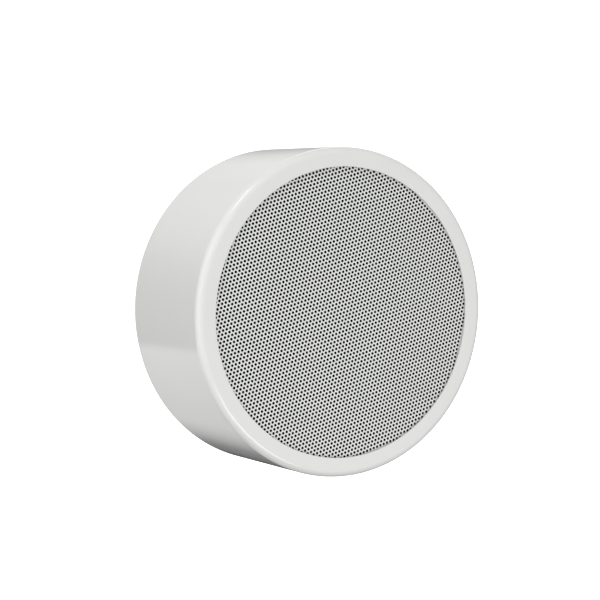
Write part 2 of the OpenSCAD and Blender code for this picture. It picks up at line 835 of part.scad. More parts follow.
// From the transformer's first pins, round the magnet and over the shelf, to the switch
module tap_wires() {
  route = [
    [-34, coil_y - 12, loom_z + 13], [-loom_r * 0.87, loom_r * 0.5, loom_z + 2],
    [-loom_r, 0, loom_z], [-loom_r * 0.87, -loom_r * 0.5, loom_z + 2],
    [-loom_r * 0.5, -loom_r * 0.87, loom_z + 5], [2, -loom_r - 5, loom_z + 11]
  ];
  color("royalblue") for (k = [0:3]) wire(concat(
    take_off(pin(k), [-3, 0, 0.5], layer(k)), [for (p = route) p + layer(k)],
    landing(switch_tag(3 - k), [-3, 2, 0.5], layer(k))
  ), wire_d, steps = 3);
}

// The line's wires: block to capacitor, block to transformer, capacitor to fuse, fuse to switch
module line_wires() {
  pole = [for (k = [-1, 1]) [block_x + k * pole_pitch, block_y + well_y, wire_hole_z]];
  past = shelf_y + 2;    // the gap between the shelf and the magnet
  cap = [block_x - 5, cap_y, shelf_z + bracket_t + 3];
  cap_end = [0, cap_size[1] / 2, 0];
  fuse = [block_x, fuse_y, fuse_z];
  fuse_end = [fuse_l / 2, 0, 0];
  color("gray") {
    wire([
      pole[0], pole[0] + [0, 4, 0], pole[0] + [0, 8, 0], [-20, past - 3, wire_hole_z + 2],
      [-19, past, shelf_z - 2], [-19, past - 0.5, shelf_z + 3], cap + cap_end + [0, 4, 0],
      cap + cap_end
    ], wire_d);
    wire(concat([
      pole[1], pole[1] + [0, 4, 0], pole[1] + [0, 8, 0], [10, shelf_y - 6, wire_hole_z],
      [23, past - 3, wire_hole_z + 2], [26, past, shelf_z], [loom_r * 0.87, -loom_r * 0.5, loom_z],
      [loom_r, 0, loom_z], [loom_r * 0.87, loom_r * 0.5, loom_z + 3], [34, coil_y - 12, loom_z + 12]
    ], landing(pin(6), [3, 0, 0], [0, 0, 0])), wire_d, steps = 3);
    wire([
      cap - cap_end, cap - cap_end - [0, 3, 0], [block_x - 12, cap_y - 10, cap[2] - 0.5],
      fuse - fuse_end - [4, 0, 0], fuse - fuse_end
    ], wire_d);
    wire(concat([
      fuse + fuse_end, fuse + fuse_end + [3, 0, 0], [block_x + 15, fuse_y + 4, fuse_z + 6]
    ], landing(switch_tag(4), [-3, -1, 0], [0, 0, 0])), wire_d);
  }
}

// From the transformer's next two pins to the loudspeaker's tags
module speaker_wires() {
  x = tag_x + 8;
  end_z = board_z - tag_t;
  color("crimson") for (k = [0, 1]) let (y = tag_y * (1 - 2 * k), up = layer(2 - k)) wire(concat(
    take_off(pin(4 + k), [3, 0, 0.5], up),
    [[36, coil_y - 12, pin_z + 5] + up, [66, 36, board_z - 14] + up, [x, 18, board_z - 12] + up,
    [x, y, end_z - 4], [x, y, end_z]]
  ), wire_d);
}

// A nylon tie round the tap loom where it passes the magnet
module cable_tie() {
  tie_w = 2.5;
  gap = 0.4;
  size = [wire_d + gap, 3 * lay + wire_d + gap];
  color("ivory") translate([-loom_r, tie_w / 2, loom_z + 1.5 * lay]) rotate([90, 0, 0])
    linear_extrude(tie_w) difference() {
      square(size + [2, 2], center = true);
      square(size, center = true);
    }
}

on_wall() wall_plate();
on_wall() cable_grommet();
on_wall() earth_screw();
on_wall() earth_washer();
on_wall() housing();
on_wall() bayonet_lugs();
on_wall() front_studs();
on_wall() stud_washers();
on_wall() stud_nuts();
on_wall() grille_gasket();
on_wall() grille();
on_wall() acoustic_cloth();
on_wall() baffle_ring();
on_wall() basket();
on_wall() basket_gasket();
on_wall() basket_screws();
on_wall() surround();
on_wall() spider();
on_wall() cone();
on_wall() dust_cap();
on_wall() coil_former();
on_wall() voice_coil();
on_wall() top_plate();
on_wall() magnet();
on_wall() pole_yoke();
on_wall() tag_board();
on_wall() solder_tags();
on_wall() tinsel_leads();
on_wall() bracket();
on_wall() bracket_screw();
on_wall() transformer_core();
on_wall() transformer_bobbin();
on_wall() transformer_winding();
on_wall() transformer_frame();
on_wall() transformer_pins();
on_wall() transformer_screws();
on_wall() transformer_nuts();
on_wall() terminal_block();
on_wall() terminal_inserts();
on_wall() terminal_screws();
on_wall() tap_switch();
on_wall() switch_nut();
on_wall() tap_knob();
on_wall() capacitor();
on_wall() thermal_fuse();
on_wall() tap_wires();
on_wall() line_wires();
on_wall() speaker_wires();
on_wall() cable_tie();
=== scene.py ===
# %% [markdown]
# # A voice-alarm sounder, finished in Blender
#
# The exact solids of this sounder were drawn in CAD and packed as a frame: every piece is already in
# its real place, in metres, with the drum facing -Y and +Z upwards. Here the frame is given its looks.
# Pieces whose CAD shape is right only get a finish. Soft pieces, round shells and the perforated sheet
# are modelled again by hand, in the same place, because a mesh with rounded edges and fine holes shows
# light in a way that a plain solid doesn't.

# %% Load the frame
import json
import math

import bpy
from mathutils import Matrix, Vector

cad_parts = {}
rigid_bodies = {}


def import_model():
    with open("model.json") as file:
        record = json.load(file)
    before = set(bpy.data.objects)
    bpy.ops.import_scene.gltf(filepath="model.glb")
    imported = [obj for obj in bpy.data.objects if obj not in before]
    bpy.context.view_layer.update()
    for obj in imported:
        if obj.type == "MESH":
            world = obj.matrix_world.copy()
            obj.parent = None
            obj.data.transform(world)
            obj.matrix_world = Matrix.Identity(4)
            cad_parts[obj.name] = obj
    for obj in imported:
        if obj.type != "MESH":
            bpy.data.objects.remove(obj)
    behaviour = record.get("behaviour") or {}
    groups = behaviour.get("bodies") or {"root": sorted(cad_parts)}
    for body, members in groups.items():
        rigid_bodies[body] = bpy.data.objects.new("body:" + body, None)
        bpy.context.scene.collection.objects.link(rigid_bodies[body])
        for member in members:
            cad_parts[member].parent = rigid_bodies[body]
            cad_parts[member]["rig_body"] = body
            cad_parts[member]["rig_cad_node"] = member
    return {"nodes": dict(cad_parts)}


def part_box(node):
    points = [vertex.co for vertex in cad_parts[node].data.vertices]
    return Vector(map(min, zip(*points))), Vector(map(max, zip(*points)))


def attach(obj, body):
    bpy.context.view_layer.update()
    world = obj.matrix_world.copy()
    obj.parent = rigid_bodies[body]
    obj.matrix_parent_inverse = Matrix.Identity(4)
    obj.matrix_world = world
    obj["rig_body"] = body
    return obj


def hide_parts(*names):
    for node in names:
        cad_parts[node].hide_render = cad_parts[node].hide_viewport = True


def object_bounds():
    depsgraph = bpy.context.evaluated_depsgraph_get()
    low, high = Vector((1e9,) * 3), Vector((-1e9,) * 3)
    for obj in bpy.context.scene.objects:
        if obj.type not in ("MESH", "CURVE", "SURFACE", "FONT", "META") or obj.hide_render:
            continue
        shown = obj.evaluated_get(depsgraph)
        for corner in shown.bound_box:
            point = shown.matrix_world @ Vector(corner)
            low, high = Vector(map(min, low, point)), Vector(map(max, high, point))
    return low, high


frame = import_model()
cad_low, cad_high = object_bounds()
print("the frame's box in millimetres:", [round(1000 * v) for v in cad_high - cad_low])

# %% [markdown]
# ## The camera
#
# The sounder hangs on a wall and is seen from its left, a little above its middle. A long lens stands
# well back, so the round front stays close to a true ellipse. The aim is set a little beside the drum's
# axis, since the far edge of the front needs less room than the near side with its depth.

# %% Place the camera
DRUM_R = cad_high.x
AZIMUTH, ELEVATION = math.radians(-29.9), math.radians(3.4)
DISTANCE = 11.81 * DRUM_R

ahead = Vector((
    -math.sin(AZIMUTH) * math.cos(ELEVATION),
    math.cos(AZIMUTH) * math.cos(ELEVATION),
    -math.sin(ELEVATION),
))
to_right = Vector((math.cos(AZIMUTH), math.sin(AZIMUTH), 0))
upwards = to_right.cross(ahead)

camera = bpy.data.objects.new("camera", bpy.data.cameras.new("camera"))
bpy.context.scene.collection.objects.link(camera)
camera.data.lens = 110
camera.data.sensor_width = 36
camera.matrix_world = Matrix((to_right, upwards, -ahead)).transposed().to_4x4()
camera.location = to_right * 0.156 * DRUM_R + upwards * 0.032 * DRUM_R - ahead * DISTANCE
bpy.context.scene.camera = camera
print("camera stands at", [round(v, 3) for v in camera.location])

# %% [markdown]
# ## Small hand tools
#
# Blender's operators act on whatever is selected, so each step starts with a clean selection. Faces and
# edges are then chosen in code by where they are, much as one would box-select them on the screen.
# These helpers are the handful of moves that the pieces share.


# %% Helpers for modelling
def clear_selection():
    if bpy.context.object and bpy.context.object.mode != "OBJECT":
        bpy.ops.object.mode_set(mode="OBJECT")
    bpy.ops.object.select_all(action="DESELECT")


def started(name):
    """Names the primitive that was just added and gives it back."""
    piece = bpy.context.object
    piece.name = piece.data.name = name
    return piece


def edit(piece, mode="VERT"):
    clear_selection()
    bpy.context.view_layer.objects.active = piece
    piece.select_set(True)
    bpy.ops.object.mode_set(mode="EDIT")
    bpy.ops.mesh.select_mode(type=mode)


def pick(piece, parts, test):
    """Selects the vertices, edges or faces that pass a test on their own place."""
    edit(piece, {"vertices": "VERT", "edges": "EDGE", "polygons": "FACE"}[parts])
    bpy.ops.mesh.select_all(action="DESELECT")
    bpy.ops.object.mode_set(mode="OBJECT")
    corners = piece.data.vertices
    for part in getattr(piece.data, parts):
        part.select = bool(test(part, corners))
    bpy.ops.object.mode_set(mode="EDIT")


def done(piece, angle=35):
    """Leaves edit mode, puts the piece's place into its mesh and smooths its round faces."""
    clear_selection()
    bpy.context.view_layer.objects.active = piece
    piece.select_set(True)
    bpy.ops.object.transform_apply(location=True, rotation=True, scale=True)
    bpy.ops.object.shade_smooth_by_angle(angle=math.radians(angle))
    print(f"{piece.name}: {len(piece.data.polygons)} faces")
    return piece


def apply(piece, kind, **settings):
    """Adds a modifier, sets it and applies it."""
    clear_selection()
    bpy.context.view_layer.objects.active = piece
    piece.select_set(True)
    modifier = piece.modifiers.new(kind.title(), kind)
    for key, value in settings.items():
        setattr(modifier, key, value)
    bpy.ops.object.modifier_apply(modifier=modifier.name)


def spun(name, outline, steps=128):
    """A closed outline of (radius, depth from the wall) points, turned round the drum's axis."""
    bpy.ops.object.select_all(action="DESELECT")
    bpy.ops.mesh.primitive_circle_add(vertices=len(outline), radius=0.001, fill_type="NOTHING")
    piece = started(name)
    for corner, (radius, depth) in zip(piece.data.vertices, outline):
        corner.co = (radius, -depth, 0)
    edit(piece)
    bpy.ops.mesh.select_all(action="SELECT")
    bpy.ops.mesh.spin(steps=steps, angle=2 * math.pi, center=(0, 0, 0), axis=(0, 1, 0))
    bpy.ops.mesh.select_all(action="SELECT")
    bpy.ops.mesh.remove_doubles(threshold=1e-6)
    bpy.ops.mesh.normals_make_consistent(inside=False)
    return piece


def stands_for(piece, node, body):
    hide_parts(node)
    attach(piece, body)
    return piece


# %% [markdown]
# ## A bench for shaders
#
# A finish is a small graph of nodes. Written as plain sums it reads like a recipe, so one class wraps a
# socket and makes a Math node for each plus, minus or times. Every other node comes from one method
# that takes the node's type, its settings and the values or links of its sockets.


# %% Sockets that can be added and multiplied
class Flow:
    def __init__(self, bench, socket):
        self.bench, self.socket = bench, socket

    def sum(self, operation, first, second):
        return self.bench.node("ShaderNodeMath", {"operation": operation}, {0: first, 1: second})

    def __add__(self, other):
        return self.sum("ADD", self, other)

    def __radd__(self, other):
        return self.sum("ADD", other, self)

    def __sub__(self, other):
        return self.sum("SUBTRACT", self, other)

    def __rsub__(self, other):
        return self.sum("SUBTRACT", other, self)

    def __mul__(self, other):
        return self.sum("MULTIPLY", self, other)

    def __rmul__(self, other):
        return self.sum("MULTIPLY", other, self)

    def __pow__(self, other):
        return self.sum("POWER", self, other)


class Bench:
    """The nodes of one finish. Its surface is always one Principled shader."""

    def __init__(self, name):
        self.material = bpy.data.materials.new(name)
        self.material.use_nodes = True
        self.tree = self.material.node_tree
        self.tree.nodes.clear()
        self.place = Flow(self, self.add("ShaderNodeTexCoord").outputs["Object"])

    def add(self, kind, settings=None):
        made = self.tree.nodes.new(kind)
        for key, value in (settings or {}).items():
            if key == "stops":
                ramp = made.color_ramp.elements
                while len(ramp) < len(value):
                    ramp.new(0.5)
                for stop, (position, colour) in zip(ramp, value):
                    stop.position, stop.color = position, colour
            else:
                setattr(made, key, value)
        return made

    def node(self, kind, settings=None, sockets=None, out=0):
        made = self.add(kind, settings)
        for key, value in (sockets or {}).items():
            if isinstance(value, Flow):
                self.tree.links.new(value.socket, made.inputs[key])
            else:
                made.inputs[key].default_value = value
        return Flow(self, made.outputs[out]) if made.outputs else None

    def noise(self, scale, detail=2.0, roughness=0.5, at=None):
        return self.node("ShaderNodeTexNoise", None, {
            "Vector": at or self.place, "Scale": scale, "Detail": detail, "Roughness": roughness})

    def axis(self, letter, at=None):
        return self.node("ShaderNodeSeparateXYZ", None, {0: at or self.place}, out="XYZ".index(letter))

    def ramp(self, value, stops):
        return self.node("ShaderNodeValToRGB", {"stops": stops}, {0: value})

    def blend(self, share, first, second):
        return self.node("ShaderNodeMix", {"data_type": "RGBA"}, {0: share, 6: first, 7: second}, out=2)

    def wave(self, value, per_metre):
        """A smooth ripple from 0 to 1, so many to the metre."""
        turned = self.sin(value * (2 * math.pi * per_metre))
        return turned * 0.5 + 0.5

    def sin(self, value):
        return self.node("ShaderNodeMath", {"operation": "SINE"}, {0: value})

    def bump(self, height, strength, depth):
        return self.node("ShaderNodeBump", None, {
            "Height": height, "Strength": strength, "Distance": depth})

    def surface(self, **sockets):
        """Principled sockets by name, with _ for a space, and the output that shows them."""
        named = {key.replace("_", " "): value for key, value in sockets.items()}
        shader = self.node("ShaderNodeBsdfPrincipled", None, named)
        self.node("ShaderNodeOutputMaterial", None, {"Surface": shader})
        return self.material


# %% [markdown]
# ## The studio
#
# A plain pale floor and a plain bright surround, with soft light only. The world acts as a light tent:
# even at the front, a little stronger from the left and dim underneath, so the round side of the drum
# falls off towards its underside. Behind the drum the tent has a dark strip at eye level over a bright
# table, because gloss paint mirrors what lies behind it at a flat angle, and that strip gives the side
# its soft step. Two soft boxes, left and overhead, draw the bright line along the rounded front edge,
# and a low one in front lifts the lower half of the rim.

# %% Light tent
bpy.context.scene.view_settings.view_transform = "Standard"
world = bpy.data.worlds.new("light tent")
bpy.context.scene.world = world
world.use_nodes = True
world.node_tree.nodes.clear()


class Tent(Bench):
    """The bench for the world, where a ramp of greys sets how bright each direction is."""

    def __init__(self, tree):
        self.tree = tree

    def grey(self, value, *stops):
        return self.ramp(value, [(position, (tone, tone, tone, 1)) for position, tone in stops])


tent = Tent(world.node_tree)
direction = tent.node("ShaderNodeTexCoord", None, None, out="Generated")
east, south, height = (tent.axis(letter, direction) for letter in "XYZ")
TENT_BASE, TENT_UP, TENT_FRONT, TENT_LEFT = 0.62, -0.04, 0.05, 0.28
leftward = tent.node("ShaderNodeMath", {"operation": "MAXIMUM"}, {0: 0 - east, 1: 0.0})
glow = TENT_BASE + height * TENT_UP - south * TENT_FRONT + leftward * TENT_LEFT
rise = height * 0.5 + 0.5
behind = tent.grey(south, (0.15, 0), (0.6, 1))
floor_line = tent.grey(rise, (0.0, 0.05), (0.20, 0.25), (0.27, 0.8), (0.365, 0.98), (0.385, 0.2),
                       (0.525, 0.12), (0.6, 0.25), (0.75, 0.85), (1.0, 0.9))
under = tent.grey(rise, (0.03, 0.15), (0.24, 1))
low = tent.grey(rise, (0.42, 1), (0.48, 0))
high = tent.grey(rise, (0.485, 0), (0.53, 1))
right = tent.grey(east, (0.08, 0), (0.30, 1))
floor_line = floor_line * (1 - low * right * 0.95) + high * right * 0.25
glow = tent.node("ShaderNodeMix", {"data_type": "FLOAT"}, {0: behind, 2: glow * under, 3: floor_line})
seen = tent.node("ShaderNodeLightPath", None, None, out="Is Camera Ray")
shown = tent.node("ShaderNodeMix", {"data_type": "FLOAT"}, {0: seen, 2: glow, 3: 1.02})
backlight = tent.node("ShaderNodeBackground", None, {"Color": (1, 1, 1, 1), "Strength": shown})
tent.node("ShaderNodeOutputWorld", None, {"Surface": backlight})


def soft_box(name, place, aim, width, height, watts):
    """A rectangular area light at a place, turned to a point it aims at."""
    lamp = bpy.data.lights.new(name, "AREA")
    lamp.shape, lamp.size, lamp.size_y, lamp.energy = "RECTANGLE", width, height, watts
    box = bpy.data.objects.new(name, lamp)
    bpy.context.scene.collection.objects.link(box)
    box.location = place
    box.rotation_euler = (Vector(aim) - Vector(place)).to_track_quat("-Z", "Y").to_euler()
    return box


left = soft_box("left box", (-1.25, -0.72, 0.25), (0, -0.08, 0), 0.25, 1.7, 3.0)
top = soft_box("top box", (-0.58, -0.60, 1.24), (0, -0.05, 0.03), 0.45, 0.45, 2.8)
left.data.color = top.data.color = (1.0, 1.0, 0.92)
soft_box("front fill", (0.0, -0.85, -0.5), (0, -0.08, -0.03), 0.6, 0.3, 1.7)
print("tent and three soft boxes")

# %% [markdown]
# The floor is a wide pale sheet, curved up at the back like a photographer's sweep. It is modelled from
# one plane whose rear edge is extruded upwards and the fold bevelled into a curve.

# %% Sweep
FLOOR_DROP, FLOOR_SIZE, WALL_RISE, CURVE_R = 0.36, 6, 4, 1.2
REAR_EDGE = FLOOR_SIZE / 2 - 0.1
bpy.ops.object.select_all(action="DESELECT")
bpy.ops.mesh.primitive_plane_add(size=FLOOR_SIZE, location=(0, 0, -FLOOR_DROP))
sweep = started("sweep")
pick(sweep, "edges", lambda edge, c: all(c[i].co.y > REAR_EDGE for i in edge.vertices))
bpy.ops.mesh.extrude_region_move(TRANSFORM_OT_translate={"value": (0, 0, WALL_RISE)})
pick(sweep, "edges", lambda edge, c: all(c[i].co.y > REAR_EDGE and c[i].co.z < 1 for i in edge.vertices))
bpy.ops.mesh.bevel(offset=CURVE_R, segments=16, affect="EDGES")
done(sweep, 60)
paper = Bench("backdrop paper")
tooth = paper.noise(60, 3)
pale = paper.blend(tooth, (0.97, 0.97, 0.97, 1), (1, 1, 1, 1))
sweep.data.materials.append(paper.surface(
    Base_Color=pale, Roughness=0.9, Emission_Color=pale, Emission_Strength=1.0))
sweep.visible_diffuse = sweep.visible_glossy = sweep.visible_shadow = False

# %% [markdown]
# ## Finishes
#
# Each finish is one small graph on Object coordinates, which are metres here, so a scale of 1000 means
# a grain of about a millimetre. Colour varies a little everywhere, since no real surface is even.


# %% White stoved paint
def white_paint(name, peel):
    """Gloss white stoved enamel: almost even colour, with the faint ripple known as orange peel."""
    bench = Bench(name)
    cloud = bench.noise(35, 2)
    tone = bench.blend(cloud, (0.80, 0.80, 0.795, 1), (0.83, 0.83, 0.825, 1))
    ripple = bench.noise(520, 2, 0.4)
    return bench.surface(
        Base_Color=tone, Roughness=0.38 + bench.noise(900) * 0.10,
        Specular_IOR_Level=0.3, Coat_Weight=1.0, Coat_Roughness=0.06,
        Normal=bench.bump(ripple, peel, 0.00004))


PAINT = white_paint("white paint", 0.35)
SHEET_PAINT = white_paint("white paint on the sheet", 0.2)


# %% [markdown]
# Metals differ in colour, in how evenly they shine and in the marks that making them leaves. Zinc plate
# has a cloudy sheen with fine streaks from rolling; black paint on pressed steel is flat and even.

# %% Metals
def metal(name, dark, light, low, high, streak=(400, 400, 400), depth=0.00002, metallic=1.0, **more):
    bench = Bench(name)
    stretched = bench.node("ShaderNodeVectorMath", {"operation": "MULTIPLY"}, {0: bench.place, 1: streak})
    grain = bench.noise(1, 4, 0.6, stretched)
    cloud = bench.noise(90, 3)
    tone = bench.blend(grain * 0.5 + cloud * 0.5, (*dark, 1), (*light, 1))
    return bench.surface(
        Base_Color=tone, Metallic=metallic, Roughness=low + cloud * (high - low),
        Normal=bench.bump(grain, 0.4, depth), **more)


ZINC = metal("zinc plate", (0.50, 0.51, 0.53), (0.74, 0.75, 0.76), 0.28, 0.5, (120, 900, 1500))
BLACK_STEEL = metal("black painted steel", (0.012, 0.012, 0.013), (0.030, 0.030, 0.032), 0.42, 0.6,
                    metallic=0.0, Coat_Weight=0.2)
BRASS = metal("turned brass", (0.55, 0.38, 0.14), (0.78, 0.60, 0.30), 0.2, 0.4, (700, 700, 700))
BRIGHT = metal("drawn can", (0.66, 0.66, 0.67), (0.82, 0.82, 0.83), 0.18, 0.32, (300, 2000, 300))
FERRITE = metal("ferrite", (0.020, 0.020, 0.022), (0.055, 0.055, 0.060), 0.5, 0.75, (900, 900, 900),
                0.00006, metallic=0.2)
# The walls of the holes get a near-black finish as painted shade inside the small holes. It is darker than
# the bare steel a punched edge really shows.
HOLE_WALL_SHADE = metal("hole walls in painted shade", (0.02, 0.02, 0.02), (0.05, 0.05, 0.05), 0.5, 0.7, metallic=0.3)


# %% [markdown]
# ## Transformer core and voice coil
#
# A core is a stack of punched plates, varnished so that no current crosses between them, and a coil is
# close turns of enamelled wire. Both show as fine regular lines. A wave along one axis gives them as
# bump and colour, where modelled plates and turns would cost a great many faces for the same look.

# %% Stacked plates and wound wire
def core_plates():
    """The edges of thin plates with varnish between them: half a millimetre to a plate."""
    bench = Bench("core plates")
    line = bench.wave(bench.axis("Z"), 2000)
    rust = bench.noise(160, 4, 0.6)
    steel = bench.ramp(rust, [(0.3, (0.20, 0.20, 0.22, 1)), (0.75, (0.34, 0.31, 0.29, 1))])
    tone = bench.blend(line ** 3, (0.05, 0.035, 0.03, 1), steel)
    return bench.surface(
        Base_Color=tone, Metallic=0.7, Roughness=0.45 + rust * 0.2,
        Normal=bench.bump(line, 0.5, 0.0001))


def wound_copper():
    """Enamelled wire wound turn by turn, a quarter of a millimetre thick."""
    bench = Bench("wound copper")
    turn = bench.wave(bench.axis("Y"), 4000)
    tone = bench.blend(turn, (0.20, 0.055, 0.02, 1), (0.62, 0.24, 0.10, 1))
    return bench.surface(
        Base_Color=tone, Metallic=0.8, Roughness=0.35 + bench.noise(400) * 0.1,
        Normal=bench.bump(turn, 0.7, 0.0001))


CORE_STEEL, COPPER = core_plates(), wound_copper()


# %% [markdown]
# Moulded, foamed and dipped surfaces have a skin with a grain of some tenths of a millimetre. One recipe
# makes them all, and each differs in its colours, its shine and how coarse that grain is.

# %% Plastics, rubber and foam
def moulded(name, dark, light, low, high, grain=2500, depth=0.00003, **more):
    bench = Bench(name)
    skin = bench.noise(grain, 3, 0.6)
    cloud = bench.noise(70, 2)
    tone = bench.blend(cloud, (*dark, 1), (*light, 1))
    return bench.surface(
        Base_Color=tone, Roughness=low + skin * (high - low),
        Normal=bench.bump(skin, 0.4, depth), **more)


BLACK_PLASTIC = moulded("black moulding", (0.014, 0.014, 0.015), (0.026, 0.026, 0.028), 0.4, 0.6)
IVORY = moulded("natural nylon", (0.66, 0.62, 0.52), (0.74, 0.71, 0.62), 0.35, 0.5, Subsurface_Weight=0.1,
                Subsurface_Radius=(0.001, 0.0008, 0.0005))
RED_DIP = moulded("dipped red case", (0.36, 0.030, 0.020), (0.48, 0.045, 0.030), 0.12, 0.3, 500, 0.0001)
RUBBER = moulded("moulded rubber", (0.012, 0.012, 0.012), (0.024, 0.024, 0.024), 0.6, 0.8, 1800)
FOAM = moulded("cell foam", (0.008, 0.008, 0.008), (0.028, 0.028, 0.028), 0.85, 1.0, 1500, 0.0002)
CERAMIC = moulded("glazed ceramic", (0.74, 0.72, 0.66), (0.82, 0.80, 0.75), 0.12, 0.25, 900, 0.00003,
                  Coat_Weight=0.5)
BOARD = moulded("laminated board", (0.16, 0.07, 0.03), (0.26, 0.13, 0.06), 0.35, 0.55, 1200)
TAPE = moulded("winding tape", (0.60, 0.40, 0.06), (0.74, 0.54, 0.12), 0.2, 0.35, 400, 0.00006)
FILM = moulded("coil film", (0.40, 0.20, 0.05), (0.52, 0.30, 0.10), 0.2, 0.35, 500)
PULP = moulded("pressed pulp", (0.014, 0.014, 0.014), (0.045, 0.044, 0.042), 0.75, 0.95, 1100, 0.00012)
BLUE_WIRE = moulded("blue insulation", (0.020, 0.060, 0.30), (0.035, 0.090, 0.40), 0.3, 0.45, 700)
GREY_WIRE = moulded("grey insulation", (0.20, 0.21, 0.22), (0.28, 0.29, 0.31), 0.3, 0.45, 700)
RED_WIRE = moulded("red insulation", (0.36, 0.020, 0.020), (0.48, 0.035, 0.030), 0.3, 0.45, 700)


# %% [markdown]
# ## Acoustic cloth and spider cloth
#
# Plain weave is two sets of threads at right angles. Two waves crossed by each other give the threads
# and the gaps between them at about half a millimetre apart. The same recipe serves the fine black cloth
# behind the sheet and the coarser treated cloth of the spider.

# %% Woven cloths
def woven(name, gap, thread, threads_per_metre, low=0.8):
    bench = Bench(name)
    warp = bench.wave(bench.axis("X"), threads_per_metre)
    weft = bench.wave(bench.axis("Z"), threads_per_metre)
    weave = warp * weft
    fuzz = bench.noise(3000, 3)
    tone = bench.blend(weave * 0.8 + fuzz * 0.2, (*gap, 1), (*thread, 1))
    return bench.surface(
        Base_Color=tone, Roughness=low + fuzz * 0.15,
        Normal=bench.bump(weave, 0.6, 0.0001), Specular_IOR_Level=0.15)


CLOTH = woven("acoustic cloth", (0.002, 0.002, 0.002), (0.009, 0.009, 0.009), 2200)
SPIDER_CLOTH = woven("treated cloth", (0.30, 0.17, 0.03), (0.60, 0.40, 0.12), 1600, low=0.5)
print(len(bpy.data.materials), "materials so far")

# %% [markdown]
# ## The drum
#
# The real housing is a deep-drawn steel drum: a plain cylinder whose front edge is rolled over into a
# flat rim. A cylinder is the obvious start. Its rear cap is deleted, the front cap is inset to the
# opening and cut away, the corner is bevelled into the rolled edge, and Solidify gives the steel its
# thickness inwards. This keeps the outside exactly on the drum's size.

# %% Housing
house_low, house_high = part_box("housing")
REAR, FRONT = -house_high.y, -house_low.y
SKIN, EDGE_R, RIM_W = 0.0012, 0.0045, 0.012
OPENING_R = DRUM_R - RIM_W

bpy.ops.object.select_all(action="DESELECT")
bpy.ops.mesh.primitive_cylinder_add(
    vertices=256, radius=DRUM_R, depth=FRONT - REAR,
    location=(0, -(FRONT + REAR) / 2, 0), rotation=(math.pi / 2, 0, 0))
housing = started("drum_shell")
bpy.ops.object.transform_apply(location=True, rotation=True, scale=True)
pick(housing, "polygons", lambda face, c: face.normal.y > 0.9)
bpy.ops.mesh.delete(type="ONLY_FACE")
pick(housing, "polygons", lambda face, c: face.normal.y < -0.9)
bpy.ops.mesh.inset(thickness=RIM_W)
bpy.ops.mesh.delete(type="ONLY_FACE")


def on_front_corner(edge, c):
    ends = [c[i].co for i in edge.vertices]
    return all(abs(Vector((p.x, p.z)).length - DRUM_R) < 1e-4 and p.y < -FRONT + 1e-4 for p in ends)


pick(housing, "edges", on_front_corner)
bpy.ops.mesh.bevel(offset=EDGE_R, segments=12, affect="EDGES")
apply(housing, "SOLIDIFY", thickness=SKIN, offset=-1, use_even_offset=True)
apply(housing, "BEVEL", width=0.00025, segments=2, limit_method="ANGLE", angle_limit=math.radians(50))
done(housing, 40)
apply(housing, "WEIGHTED_NORMAL", keep_sharp=True)
housing.data.materials.append(PAINT)
stands_for(housing, "housing", "drum")

# %% [markdown]
# ## The perforated sheet
#
# The sheet has about four and a half thousand small holes in a staggered pattern. Cutting them one by
# one would be slow, so one eight-sided hole is arrayed twice, along a row and then row by row. The
# holes outside the field are deleted, the outer circle is added, and the fill operator lays faces
# between all these loops in one go. Extruding that face gives the sheet its thickness and the holes
# their walls.

# %% Grille: the pattern of holes
sheet_low, sheet_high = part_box("grille")
stud_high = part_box("front_studs")[1]
SHEET_R = sheet_high.x
HOLE_PITCH, HOLE_R, PATTERN_TURN = 0.0025, 0.0009, math.radians(-16)
FIELD_R = OPENING_R + 0.0015
ROW_STEP = HOLE_PITCH * math.sqrt(3) / 2
rows = math.ceil(FIELD_R / ROW_STEP)
columns = math.ceil(FIELD_R / HOLE_PITCH) + rows // 2 + 1
STUD_R, STUD_HOLE_R, STUD_CLEAR = 0.002, 0.0021, 0.0036
STUD_CIRCLE_R = math.hypot(stud_high.x - STUD_R, stud_high.z - STUD_R)
stud_places = [Vector((STUD_CIRCLE_R, 0)) @ Matrix.Rotation(math.radians(45 + 90 * k), 2) for k in range(4)]

bpy.ops.object.select_all(action="DESELECT")
bpy.ops.mesh.primitive_circle_add(vertices=8, radius=HOLE_R, fill_type="NOTHING")
grille = started("perforated_sheet")
for count, step in ((2 * columns + 1, (HOLE_PITCH, 0, 0)), (2 * rows + 1, (HOLE_PITCH / 2, ROW_STEP, 0))):
    apply(grille, "ARRAY", count=count, use_relative_offset=False,
          use_constant_offset=True, constant_offset_displace=step)
edit(grille)
bpy.ops.mesh.select_all(action="SELECT")
bpy.ops.transform.translate(value=(-columns * HOLE_PITCH - rows * HOLE_PITCH / 2, -rows * ROW_STEP, 0))
bpy.ops.transform.rotate(value=PATTERN_TURN, orient_axis="Z", center_override=(0, 0, 0))
bpy.ops.object.mode_set(mode="OBJECT")

# %% Grille: drop the holes outside the field and fill the sheet
corner_places = [v.co.xy.copy() for v in grille.data.vertices]
outside = set()
for first in range(0, len(corner_places), 8):
    middle = sum(corner_places[first:first + 8], Vector((0, 0))) / 8
    near_stud = min((middle - place).length for place in stud_places) < STUD_CLEAR
    if middle.length > FIELD_R - HOLE_R or near_stud:
        outside.update(range(first, first + 8))
hole_count = (len(corner_places) - len(outside)) // 8
pick(grille, "vertices", lambda vertex, c: vertex.index in outside)
bpy.ops.mesh.delete(type="VERT")
for place in stud_places:
    bpy.ops.mesh.primitive_circle_add(
        vertices=24, radius=STUD_HOLE_R, fill_type="NOTHING", location=(*place, 0))
bpy.ops.mesh.primitive_circle_add(vertices=192, radius=SHEET_R, fill_type="NOTHING")
bpy.ops.mesh.select_all(action="SELECT")
bpy.ops.mesh.fill(use_beauty=False)
bpy.ops.mesh.select_all(action="SELECT")
bpy.ops.mesh.extrude_region_move(TRANSFORM_OT_translate={"value": (0, 0, sheet_high.y - sheet_low.y)})
bpy.ops.mesh.select_all(action="SELECT")
bpy.ops.mesh.normals_make_consistent(inside=False)
bpy.ops.object.mode_set(mode="OBJECT")
